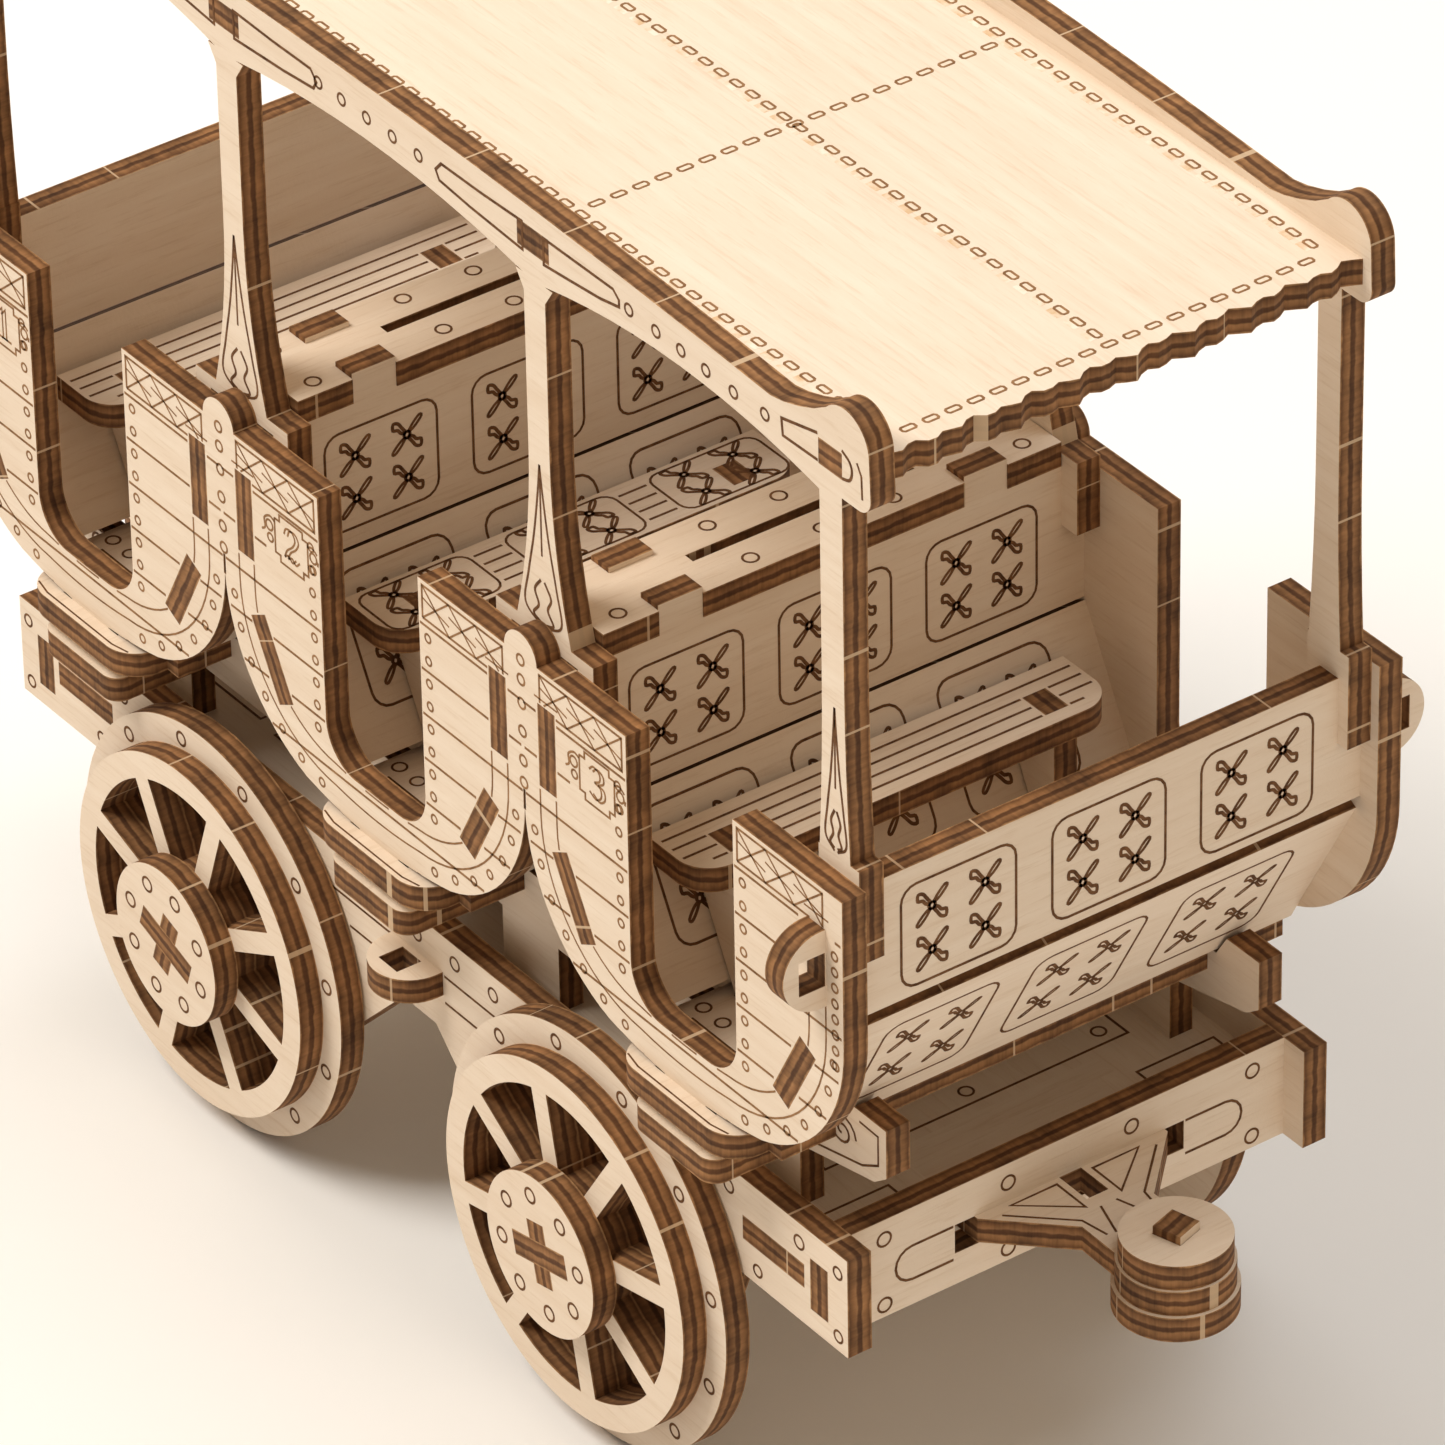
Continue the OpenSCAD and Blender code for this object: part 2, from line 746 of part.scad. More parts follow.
hub_caps(-axle_x, rear_turn);  // rear_hub_caps
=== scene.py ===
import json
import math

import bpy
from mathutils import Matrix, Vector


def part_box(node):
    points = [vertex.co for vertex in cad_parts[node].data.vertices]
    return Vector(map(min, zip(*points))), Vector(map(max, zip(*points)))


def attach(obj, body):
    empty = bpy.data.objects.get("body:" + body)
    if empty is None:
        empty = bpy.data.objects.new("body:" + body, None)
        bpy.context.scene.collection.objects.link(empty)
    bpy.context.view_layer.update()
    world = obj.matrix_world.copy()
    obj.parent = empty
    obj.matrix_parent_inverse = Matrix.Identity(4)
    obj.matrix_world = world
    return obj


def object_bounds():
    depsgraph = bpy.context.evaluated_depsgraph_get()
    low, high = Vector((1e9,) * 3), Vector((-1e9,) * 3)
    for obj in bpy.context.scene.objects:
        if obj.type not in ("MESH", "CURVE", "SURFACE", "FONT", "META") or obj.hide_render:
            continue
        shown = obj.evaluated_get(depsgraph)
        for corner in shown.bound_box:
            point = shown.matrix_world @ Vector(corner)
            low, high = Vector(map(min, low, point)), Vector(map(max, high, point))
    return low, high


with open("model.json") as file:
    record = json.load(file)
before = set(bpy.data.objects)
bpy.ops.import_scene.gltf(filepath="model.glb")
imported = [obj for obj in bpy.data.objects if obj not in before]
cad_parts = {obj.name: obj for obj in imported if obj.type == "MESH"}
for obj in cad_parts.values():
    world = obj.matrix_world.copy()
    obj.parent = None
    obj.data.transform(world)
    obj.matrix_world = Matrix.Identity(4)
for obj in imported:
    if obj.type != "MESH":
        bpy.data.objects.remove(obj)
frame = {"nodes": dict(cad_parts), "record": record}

# Looks for an open-sided railway coach model that is pressed together from laser-cut plywood.
# Every CAD piece is a flat sheet, so one plywood material tells its faces from its burnt edges by
# the sheet's direction, and the burnt drawing on the faces is built here as thin raised strips.
# Lengths are in millimetres until a mesh is made.

MM = 0.001
CAD_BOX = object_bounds()

# ---------------------------------------------------------------- sizes, from the frame

X, Y, Z = Vector((1, 0, 0)), Vector((0, 1, 0)), Vector((0, 0, 1))
SIDES = (-1, 1)


def box_mm(node):
    """Lowest and highest corner of a CAD node, in millimetres."""
    low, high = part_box(node)
    return low / MM, high / MM


def middle(node):
    low, high = box_mm(node)
    return (low + high) / 2


PLY = box_mm("roof_deck")[1].z - box_mm("roof_deck")[0].z
PITCH = middle("floor_3").x - middle("floor_2").x
COMPARTMENTS = (-PITCH, 0, PITCH)
BOUNDARIES = (-PITCH / 2, PITCH / 2)
PANEL_OUT = box_mm("side_panel_left")[1].y
BODY_HALF = box_mm("side_panel_left")[1].x
FLOOR_TOP = box_mm("floor_2")[1].z
BUMP_R = 2.8
PANEL_TOP = box_mm("side_panel_left")[1].z - BUMP_R + 0.1
BACK_GAP = box_mm("backrest_3_rear")[0].x - PITCH / 2
BEAM_OUT = box_mm("side_beam_left")[1].y
BEAM_TOP = box_mm("side_beam_left")[1].z
DECK_TOP = box_mm("chassis_deck")[1].z
ARCADE_OUT = box_mm("arcade_left")[1].y
ROOF_TOP = box_mm("roof_deck")[1].z
AXLE_X = middle("front_tread_left").x
AXLE_Z = middle("front_tread_left").z
HUB_OUT = box_mm("front_hub_caps")[1].y

BAND_Z = 75
BOAT_Z = FLOOR_TOP
KEEL_R = 60
SIDE_R = 20
DOOR_HALF = 9
DOOR_SILL = 60.4
SILL_R = 5
TENON_Z = (78.5, 88.6)
TILT = math.radians(28)
EAR, EAR_R = (76.75, 83.5), 4.8
SLANT = Vector((18.7, 0, 67.6))
TURNS = {"front": math.radians(12), "rear": math.radians(-19)}
PIN_TURN = math.radians(17)

# ---------------------------------------------------------------- materials


class Nodes:
    """Short names for the shader nodes of one material."""

    def __init__(self, name):
        self.material = bpy.data.materials.new(name)
        self.material.use_nodes = True
        self.tree = self.material.node_tree
        self.shader = self.tree.nodes["Principled BSDF"]

    def add(self, kind, **settings):
        node = self.tree.nodes.new(kind)
        for key, value in settings.items():
            setattr(node, key, value)
        return node

    def link(self, source, target):
        if isinstance(source, (int, float, tuple, Vector)):
            target.default_value = source
        else:
            self.tree.links.new(source, target)

    def math(self, operation, a, b=0.0, c=0.0):
        node = self.add("ShaderNodeMath", operation=operation)
        for socket, value in zip(node.inputs, (a, b, c)):
            self.link(value, socket)
        return node.outputs[0]

    def vector(self, operation, a, b):
        node = self.add("ShaderNodeVectorMath", operation=operation)
        self.link(a, node.inputs[0])
        self.link(b, node.inputs[1])
        return node.outputs["Value" if operation == "DOT_PRODUCT" else "Vector"]

    def place(self):
        return self.add("ShaderNodeTexCoord").outputs["Object"]

    def noise(self, vector, scale, detail=3.0, roughness=0.5):
        node = self.add("ShaderNodeTexNoise")
        self.link(vector, node.inputs["Vector"])
        node.inputs["Scale"].default_value = scale
        node.inputs["Detail"].default_value = detail
        node.inputs["Roughness"].default_value = roughness
        return node.outputs["Fac"]

    def ramp(self, value, stops):
        node = self.add("ShaderNodeValToRGB")
        self.link(value, node.inputs["Fac"])
        ramp = node.color_ramp
        while len(ramp.elements) < len(stops):
            ramp.elements.new(0.5)
        for element, (place, colour) in zip(ramp.elements, stops):
            element.position = place
            element.color = (*colour, 1)
        return node.outputs["Color"]

    def mix(self, factor, a, b, blend="MIX"):
        node = self.add("ShaderNodeMix", data_type="RGBA", blend_type=blend)
        self.link(factor, node.inputs["Factor"])
        for socket, value in ((node.inputs["A"], a), (node.inputs["B"], b)):
            self.link((*value, 1) if isinstance(value, tuple) else value, socket)
        return node.outputs["Result"]

    def bump(self, height, distance, strength=0.5):
        node = self.add("ShaderNodeBump")
        node.inputs["Strength"].default_value = strength
        node.inputs["Distance"].default_value = distance
        self.link(height, node.inputs["Height"])
        return node.outputs["Normal"]


BIRCH_DARK = (0.60, 0.45, 0.32)
BIRCH_MID = (0.76, 0.61, 0.465)
BIRCH_PALE = (0.85, 0.725, 0.59)
BURNT = (0.085, 0.036, 0.016)

# Colours across a laser-cut edge, from one face of the sheet to the other: three plies
EDGE_PLIES = (
    (0.0, (0.36, 0.200, 0.090)),
    (0.08, (0.120, 0.053, 0.021)),
    (0.22, (0.235, 0.115, 0.047)),
    (0.36, (0.285, 0.145, 0.062)),
    (0.43, (0.085, 0.036, 0.014)),
    (0.57, (0.105, 0.045, 0.018)),
    (0.64, (0.270, 0.138, 0.060)),
    (0.78, (0.210, 0.100, 0.041)),
    (0.92, (0.115, 0.051, 0.020)),
    (1.0, (0.38, 0.215, 0.100)),
)
NIB = (0.62, 0.45, 0.29)


def plywood(name, across, low, along, mirrored=False, centre=(0, 0, 0), stacked=False):
    """Plywood sheet: across is the sheet's thickness direction, low its lower face along it in mm."""
    n = Nodes(name)
    place = n.vector("SUBTRACT", n.place(), Vector(centre) * MM)
    depth = n.vector("DOT_PRODUCT", place, across)
    if mirrored:
        depth = n.math("ABSOLUTE", depth)
    depth = n.math("MULTIPLY_ADD", depth, 1 / (PLY * MM), -low / PLY)
    if stacked:
        depth = n.math("FRACT", n.math("ADD", depth, 1e-4))

    facing = n.vector("DOT_PRODUCT", n.add("ShaderNodeNewGeometry").outputs["True Normal"], across)
    is_face = n.math("GREATER_THAN", n.math("ABSOLUTE", facing), 0.7)

    # Faces: fine birch grain, long streaks and a soft mottle
    squeeze = Vector((1, 1, 1)) - Vector(along) * 0.94
    grain_place = n.vector("MULTIPLY", place, squeeze)
    grain = n.noise(grain_place, 2600, 4, 0.65)
    streak = n.noise(grain_place, 520, 3, 0.55)
    mottle = n.noise(place, 55, 2, 0.5)
    face = n.ramp(streak, ((0.18, BIRCH_MID), (0.80, BIRCH_PALE)))
    pores = n.ramp(grain, ((0.33, (0.80, 0.72, 0.62)), (0.47, (1, 1, 1))))
    face = n.mix(0.4, face, pores, "MULTIPLY")
    face = n.mix(n.math("MULTIPLY", mottle, 0.22), face, BIRCH_DARK)

    # Edges: the three plies, charred unevenly, with fine upright laser marks
    wobble = n.noise(place, 700, 2, 0.5)
    depth_wobbled = n.math("ADD", depth, n.math("MULTIPLY_ADD", wobble, 0.16, -0.08))
    edge = n.ramp(depth_wobbled, EDGE_PLIES)
    flat = Vector((1, 1, 1)) - Vector(across).normalized() * 0.9
    marks = n.noise(n.vector("MULTIPLY", place, flat), 2300, 3, 0.6)
    char = n.noise(place, 260, 3, 0.6)
    shade = n.math("MULTIPLY_ADD", marks, 1.2, n.math("MULTIPLY_ADD", char, 2.1, -0.65))
    shades = n.ramp(n.math("MULTIPLY", shade, 0.5), ((0.1, (0.35, 0.32, 0.30)), (0.9, (1.65, 1.6, 1.5))))
    edge = n.mix(1.0, edge, shades, "MULTIPLY")

    # Here and there a pale line crosses the edge, where a bridge held the piece in its sheet
    in_plane = n.vector("SUBTRACT", place, n.vector("PROJECT", place, across))
    contour = n.math("ABSOLUTE", n.math("SUBTRACT", n.noise(in_plane, 62, 0, 0.5), 0.53))
    edge = n.mix(n.math("MULTIPLY", n.math("LESS_THAN", contour, 0.0034), 0.8), edge, NIB)

    n.link(n.mix(is_face, edge, face), n.shader.inputs["Base Color"])
    n.link(n.math("MULTIPLY_ADD", is_face, -0.12, 0.82), n.shader.inputs["Roughness"])
    n.shader.inputs["Specular IOR Level"].default_value = 0.28
    relief = n.math("ADD", n.math("MULTIPLY", grain, is_face), n.math("MULTIPLY", marks, 0.8))
    n.link(n.bump(relief, 0.00006), n.shader.inputs["Normal"])
    return n.material


def burnt_line(name="burnt_line", dark=BURNT, light=(0.205, 0.098, 0.043)):
    """The narrow groove that a laser burns: brown, uneven along its length."""
    n = Nodes(name)
    uneven = n.noise(n.place(), 900, 3, 0.6)
    n.link(n.ramp(uneven, ((0.3, dark), (0.7, light))), n.shader.inputs["Base Color"])
    n.shader.inputs["Roughness"].default_value = 0.9
    n.shader.inputs["Specular IOR Level"].default_value = 0.15
    return n.material


def painted_stitch_shadow():
    """Painted shadow: a faint tan strip laid on one side of a burnt stitch, standing in for the shade beside
    it.
    """
    n = Nodes("painted_stitch_shadow")
    uneven = n.noise(n.place(), 500, 3, 0.6)
    n.link(n.ramp(uneven, ((0.35, (0.66, 0.44, 0.25)), (0.65, BIRCH_PALE))), n.shader.inputs["Base Color"])
    n.shader.inputs["Roughness"].default_value = 0.8
    return n.material


def floor_paper():
    n = Nodes("floor_paper")
    tone = n.noise(n.place(), 3, 2, 0.5)
    paper = n.ramp(tone, ((0.3, (0.90, 0.89, 0.875)), (0.7, (0.93, 0.92, 0.905))))
    n.link(paper, n.shader.inputs["Base Color"])
    n.shader.inputs["Roughness"].default_value = 0.9
    return n.material


# Which way each CAD sheet lies: its thickness direction and its grain direction
SLANT_OUT = {1: Vector((math.cos(TILT), 0, -math.sin(TILT))), -1: Vector((math.cos(TILT), 0, math.sin(TILT)))}


def sheet_direction(node):
    """(thickness direction, grain direction, mirrored, centre) of the sheet that a CAD node is cut from."""
    for end, turn in TURNS.items():
        axle = (AXLE_X if end == "front" else -AXLE_X, 0, AXLE_Z)
        if node == f"{end}_axle_long_strip":
            return Vector((-math.sin(turn), 0, math.cos(turn))), Y, False, axle
        if node == f"{end}_axle_cross_strip":
            return Vector((math.cos(turn), 0, math.sin(turn))), Y, False, axle
    if "lower_board" in node:
        return SLANT_OUT[1 if node.endswith("front") else -1], Y, False, (0, 0, 0)
    if node.startswith(("end_board", "backrest", "end_beam")):
        return X, Y, False, (0, 0, 0)
    if node.startswith(("seat_legs", "side_", "bolster", "arcade")) or "tread" in node:
        return Y, X, True, (0, 0, 0)
    if "flange" in node or "hub_caps" in node:
        return Y, X, True, (0, 0, 0)
    if node == "coupling_pin":
        return Vector((math.cos(PIN_TURN), math.sin(PIN_TURN), 0)), Z, False, (0, 0, 0)
    return Z, (X if node in ("roof_deck", "chassis_deck") else Y), False, (0, 0, 0)


def dress_cad_nodes():
    """Gives every CAD node its plywood. Sheets that lie alike share one material."""
    made = {}
    for node, piece in frame["nodes"].items():
        across, along, mirrored, centre = sheet_direction(node)
        reach = [(v.co - Vector(centre) * MM).dot(across) for v in piece.data.vertices]
        low = min(abs(r) for r in reach) if mirrored else min(reach)
        stacked = node.startswith("coupler_discs")
        direction = tuple(round(c, 3) for c in across)
        key = (round(low / MM, 2), direction, tuple(along), centre, mirrored, stacked)
        if key not in made:
            name = f"plywood_{len(made) + 1}"
            made[key] = plywood(name, across, low / MM, along, mirrored, centre, stacked)
        piece.data.materials.clear()
        piece.data.materials.append(made[key])


# ---------------------------------------------------------------- drawing on flat faces

LINE = 0.34
FINE = 0.26
PROUD = 0.03
SUNK = 0.05
STEP = 0.3


def burnt_face(origin, u, v, normal):
    """A face to draw on: (u, v) in mm become points on it, lifted by height."""
    origin, u, v, normal = (Vector(a) for a in (origin, u, v, normal))

    def at(point, height):
        return (origin + u * point[0] + v * point[1] + normal * height) * MM

    at.right_handed = u.cross(v).dot(normal) > 0
    return at


class Drawing:
    """Burnt lines on one face, gathered into one mesh of thin closed strips."""

    def __init__(self, name, node, face, inside=None, finish="burnt_line", proud=PROUD):
        self.name, self.node, self.face, self.inside = name, node, face, inside
        self.finish, self.proud = finish, proud
        self.verts, self.faces = [], []

    def strip(self, points, width, closed):
        """One strip along points, with mitred corners, as a closed solid."""
        count = len(points)
        base = len(self.verts)
        for i, p in enumerate(points):
            before = points[i - 1] if closed or i else p
            after = points[(i + 1) % count] if closed or i < count - 1 else p
            t_in = (Vector(p) - Vector(before)).normalized()
            t_out = (Vector(after) - Vector(p)).normalized()
            tangent = (t_in + t_out).normalized() if (t_in + t_out).length > 1e-6 else t_out
            side = Vector((-tangent.y, tangent.x))
            lean = max(0.5, abs(side.dot(Vector((-t_out.y, t_out.x)) if t_out.length else side)))
            reach = side * (width / 2 / lean)
            for s in (-1, 1):
                for height in (-SUNK, self.proud):
                    self.verts.append(self.face(Vector(p) + reach * s, height))
        # Corner order at each station: right low, right high, left low, left high
        ring = (0, 1, 3, 2)
        for i in range(count if closed else count - 1):
            a, b = base + 4 * i, base + 4 * ((i + 1) % count)
            for j in range(4):
                p, q = ring[j], ring[(j + 1) % 4]
                self.faces.append((a + p, b + p, b + q, a + q))
        if not closed:
            end = base + 4 * (count - 1)
            self.faces.append(tuple(base + r for r in ring))
            self.faces.append(tuple(end + r for r in reversed(ring)))

    def line(self, points, width=LINE, closed=False):
        """A line through points. Where the drawing has an outline, only the stretches inside it are kept."""
        points = [tuple(p) for p in points]
        if self.inside is None:
            self.strip(points, width, closed)
            return
        if closed:
            points = points + points[:1]
        dense = [points[0]]
        for a, b in zip(points, points[1:]):
            steps = max(1, int(math.dist(a, b) / STEP))
            dense += [(a[0] + (b[0] - a[0]) * k / steps, a[1] + (b[1] - a[1]) * k / steps)
                      for k in range(1, steps + 1)]
        run = []
        for p in dense + [None]:
            if p is not None and self.inside(*p):
                run.append(p)
                continue
            if len(run) > 2:
                self.strip(thinned(run), width, False)
            run = []

    def ring(self, u, v, r=0.62, width=0.26):
        """A small burnt rivet ring."""
        self.strip(circle_points(u, v, r, 18), width, True)

    def rings(self, places, r=0.62):
        for u, v in places:
            self.ring(u, v, r)

    def make(self):
        mesh = bpy.data.meshes.new(self.name)
        mesh.from_pydata([tuple(v) for v in self.verts], [], self.faces)
        if not self.face.right_handed:
            mesh.flip_normals()
        mesh.validate()
        mesh.materials.append(MATERIALS[self.finish])
        piece = bpy.data.objects.new(self.name, mesh)
        bpy.context.scene.collection.objects.link(piece)
        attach(piece, NODE_BODY[self.node])
        return piece


def thinned(points):
    """Drops the points of a run that lie on a straight stretch."""
    kept = [points[0]]
    for a, p, b in zip(points, points[1:], points[2:]):
        u, w = (p[0] - a[0], p[1] - a[1]), (b[0] - p[0], b[1] - p[1])
        if abs(u[0] * w[1] - u[1] * w[0]) > 1e-5:
            kept.append(p)
    return kept + [points[-1]]


def circle_points(u, v, r, count, start=0.0, sweep=math.tau):
    closed = abs(sweep - math.tau) < 1e-9
    steps = count if closed else count - 1
    angles = [start + sweep * i / steps for i in range(count)]
    return [(u + r * math.cos(a), v + r * math.sin(a)) for a in angles]


def round_box(u0, v0, u1, v1, r, corners=5):
    """Closed outline of a rectangle with round corners."""
    points = []
    for k, (cu, cv) in enumerate(((u1 - r, v0 + r), (u1 - r, v1 - r), (u0 + r, v1 - r), (u0 + r, v0 + r))):
        points += circle_points(cu, cv, r, corners, math.radians(-90 + 90 * k), math.radians(90))
    return points


def curve(points, steps=6):
    """A smooth Catmull-Rom line through points."""
    points = [Vector(p) for p in points]
    ends = [2 * points[0] - points[1]] + points + [2 * points[-1] - points[-2]]
    out = []
    for p0, p1, p2, p3 in zip(ends, ends[1:], ends[2:], ends[3:]):
        for k in range(steps):
            t = k / steps
            out.append(tuple(0.5 * (2 * p1 + (p2 - p0) * t + (2 * p0 - 5 * p1 + 4 * p2 - p3) * t * t
                                    + (3 * p1 - p0 - 3 * p2 + p3) * t ** 3)))
    return out + [tuple(points[-1])]


# ---------------------------------------------------------------- side panels


def boat_half(z, inset=0.0):
    """Half width of a boat-shaped panel at height z, with its outline drawn in by inset."""
    half = PITCH / 2 - inset
    if z < BAND_Z:
        drop = (SIDE_R - inset) ** 2 - (BAND_Z - z) ** 2
        keel = (KEEL_R - inset) ** 2 - (BOAT_Z + KEEL_R - z) ** 2
        half = min(PITCH / 2 - SIDE_R + math.sqrt(max(drop, 0)), math.sqrt(max(keel, 0)))
        if drop < 0 or keel < 0:
            half = 0
    return half


def door_half(z, margin):
    low = DOOR_SILL - margin
    reach = DOOR_HALF + margin
    r = SILL_R + margin
    if z < low:
        return 0
    if z < low + r:
        return reach - r + math.sqrt(max(r * r - (low + r - z) ** 2, 0))
    return reach


def in_slot(x, z, margin=0.15):
    """True in the tenon slots of a boat whose middle is at x = 0."""
    edge = PITCH / 2 - abs(x)
    if BACK_GAP - margin < edge < BACK_GAP + PLY + margin and TENON_Z[0] - margin < z < TENON_Z[1] + margin:
        return True
    across = (abs(x) - SLANT.x) * math.cos(TILT) - (z - SLANT.z) * math.sin(TILT)
    down = (abs(x) - SLANT.x) * math.sin(TILT) + (z - SLANT.z) * math.cos(TILT)
    return abs(across) < PLY / 2 + margin and abs(down) < 5 + margin


def inside_panel(x, z):
    """True where a side panel's face can be drawn on."""
    c = min(COMPARTMENTS, key=lambda middle_x: abs(x - middle_x))
    local = x - c
    if z > PANEL_TOP - 0.4 or abs(local) > boat_half(z, 0.2) or abs(local) < door_half(z, 0.2):
        return False
    end_side = abs(x) > PITCH
    if end_side and math.hypot(abs(x) - EAR[0], z - EAR[1]) < EAR_R:
        return False
    return not in_slot(local, z) or (end_side and z > BAND_Z)


def cartouche_at(c):
    return c - 14.1, 84.1


DIGITS = {
    1: [[(-0.7, 1.0), (0.1, 1.9), (0.1, -1.9)], [(-0.8, -1.9), (1.0, -1.9)]],
    2: [curve([(-1.0, 1.0), (-0.6, 1.8), (0.4, 1.9), (1.0, 1.1), (0.5, 0.1), (-0.5, -0.8), (-1.0, -1.8)]),
        curve([(-1.0, -1.8), (-0.3, -1.4), (0.4, -1.9), (1.1, -1.3)])],
    3: [curve([(-1.0, 1.3), (-0.3, 1.9), (0.7, 1.6), (0.8, 0.7), (-0.1, 0.1)]),
        curve([(-0.1, 0.1), (0.9, -0.2), (1.0, -1.2), (0.1, -1.9), (-1.0, -1.4)])],
}


def draw_cartouche(art, c, number, flip):
    """A stepped frame with a small scroll at each end, around the compartment's number."""
    u0, v0 = cartouche_at(c)
    frame_half = ((-3.0, 2.1), (-2.1, 2.1), (-2.1, 2.9), (2.1, 2.9), (2.1, 2.1), (3.0, 2.1),
                  (3.0, -2.1), (2.1, -2.1), (2.1, -2.9), (-2.1, -2.9), (-2.1, -2.1), (-3.0, -2.1))
    art.line([(u0 + u, v0 + v) for u, v in frame_half], FINE, closed=True)
    for s in SIDES:
        art.ring(u0 + s * 4.0, v0 + 0.7, 0.62, 0.24)
        art.ring(u0 + s * 3.9, v0 - 0.8, 0.5, 0.24)
        tail = [(3.0, 1.6), (3.9, 1.9), (4.9, 1.2), (4.8, 0.1), (5.4, -0.4)]
        art.line([(u0 + s * u, v0 + v) for u, v in curve(tail, 4)], FINE)
    for stroke in DIGITS[number]:
        for width_shift in (-0.32, 0.32):
            art.line([(u0 + flip * (u + width_shift), v0 + v) for u, v in stroke], 0.24)


def draw_lattice(art, u0, u1, v0, v1):
    """A framed strip of crossing diagonals."""
    art.line([(u0, v0), (u1, v0), (u1, v1), (u0, v1)], 0.28, closed=True)
    bays = 3
    step = (u1 - u0) / bays
    for k in range(bays):
        a, b = u0 + k * step, u0 + (k + 1) * step
        art.line([(a, v0), (b, v1)], 0.22)
        art.line([(a, v1), (b, v0)], 0.22)
        art.line([(a, (v0 + v1) / 2 + 0.5), (b, (v0 + v1) / 2 - 0.7)], 0.18)


def inset_curve(c, inset, s, top):
    """A line that runs down the side of a boat and round its bottom, inset from the outline."""
    r = SIDE_R - inset
    points = [(c + s * (PITCH / 2 - inset), top)]
    for k in range(17):
        a = math.radians(-88 * k / 16)
        points.append((c + s * (PITCH / 2 - SIDE_R + r * math.cos(a)), BAND_Z + r * math.sin(a)))
    for k in range(1, 6):
        u = (PITCH / 2 - SIDE_R) * (1 - k / 5)
        points.append((c + s * u, BOAT_Z + KEEL_R - math.sqrt((KEEL_R - inset) ** 2 - u * u)))
    return points


def draw_side_panel(side):
    node = "side_panel_right" if side < 0 else "side_panel_left"
    face = burnt_face((0, side * PANEL_OUT, 0), X, Z, (0, side, 0))
    art = Drawing(f"burnt_drawing_{node}", node, face, inside_panel, finish="light_line")
    plank_step = 5.6
    band_z = PANEL_TOP - 5.5

    def planks(x, z):
        for c in COMPARTMENTS:
            u0, v0 = cartouche_at(c)
            if abs(x - u0) < 4.6 and abs(z - v0) < 3.1:
                return False
        return inside_panel(x, z)

    rows = Drawing(f"burnt_planks_{node}", node, face, planks, finish="light_line")
    for c in COMPARTMENTS:
        for k in range(6):
            z = band_z - k * plank_step
            rows.line([(c - PITCH / 2, z), (c + PITCH / 2, z)], 0.30)
        for s in SIDES:
            art_edge = c + s * (DOOR_HALF + 0.7), c + s * (PITCH / 2 - 3.2)
            draw_lattice(art, min(art_edge), max(art_edge), band_z + 0.8, PANEL_TOP - 0.7)
            slot_foot = 79.0 if c * s > 0 else TENON_Z[0]
            for inset in (BACK_GAP + 0.1, BACK_GAP + PLY - 0.1):
                art.line(inset_curve(c, inset, s, slot_foot - 0.1), 0.22)
            over_slot = [c + s * (PITCH / 2 - BACK_GAP - PLY - 0.5), c + s * (PITCH / 2 - BACK_GAP + 0.5)]
            art.line([(x, 89.3) for x in over_slot], 0.2)
            for k in range(9):
                z = band_z - 1.4 - k * plank_step / 2
                if z > DOOR_SILL + 1.5 and abs((z - band_z) % plank_step) > 0.45:
                    art.ring(c + s * (DOOR_HALF + 1.5), z, 0.5, 0.24)
            for k in range(7):
                a = math.radians(-8 - 12.0 * k)
                u = c + s * (PITCH / 2 - SIDE_R + (SIDE_R - 1.5) * math.cos(a))
                art.ring(u, BAND_Z + (SIDE_R - 1.5) * math.sin(a), 0.5, 0.24)
            if c * s > 0:
                for k in range(8):
                    z = PANEL_TOP - 7.2 - 1.9 * k
                    art.ring(s * (BODY_HALF - 1.3), z, 0.5, 0.24)
        draw_cartouche(art, c, COMPARTMENTS.index(c) + 1, 1 if side < 0 else -1)
    for x in BOUNDARIES:
        for z in (91.9, 89.5, 86.6, 83.2, 79.6, 76.9):
            art.ring(x, z + 0.4, 0.62, 0.26)
    art.make()
    rows.make()


# ---------------------------------------------------------------- tufted boards


def draw_tuft(art, u, v):
    """One stitched cross: a small ring, two straight narrow petals and two short thick hooks."""
    art.strip(circle_points(u, v, 0.4, 10), 0.36, True)
    for s in SIDES:
        petal = curve([(0.3, 0.25), (1.05, 0.75), (1.87, 1.64), (1.6, 1.9), (0.85, 1.25), (0.2, 0.42)], 3)
        art.strip([(u + s * a, v + s * b) for a, b in petal], 0.34, True)
        hook = curve([(-0.3, 0.2), (-0.8, 0.5), (-1.15, 0.95), (-1.75, 1.15),
                      (-1.7, 1.9), (-1.1, 1.75), (-0.65, 1.1), (-0.2, 0.45)], 3)
        art.strip([(u + s * a, v + s * b) for a, b in hook], 0.4, True)


def draw_tufted_square(art, u, v, half_u=7.1, half_v=6.1, spread_u=3.28, spread_v=2.65):
    art.strip(round_box(u - half_u, v - half_v, u + half_u, v + half_v, 1.9), 0.3, True)
    for a in SIDES:
        for b in SIDES:
            draw_tuft(art, u + a * spread_u, v + b * spread_v)


TUFT_STEP = 18.7


def draw_upright_board(node, side):
    """Tufts on the face of an upright board that looks along side * X."""
    low, high = box_mm(node)
    face = burnt_face((high.x if side > 0 else low.x, 0, 0), Y, Z, (side, 0, 0))
    art = Drawing(f"burnt_tufts_{node}", node, face)
    height = 82.8 if node.startswith("end_board") else 83.85
    for k in (-1, 0, 1):
        draw_tufted_square(art, k * TUFT_STEP, height)
    art.make()


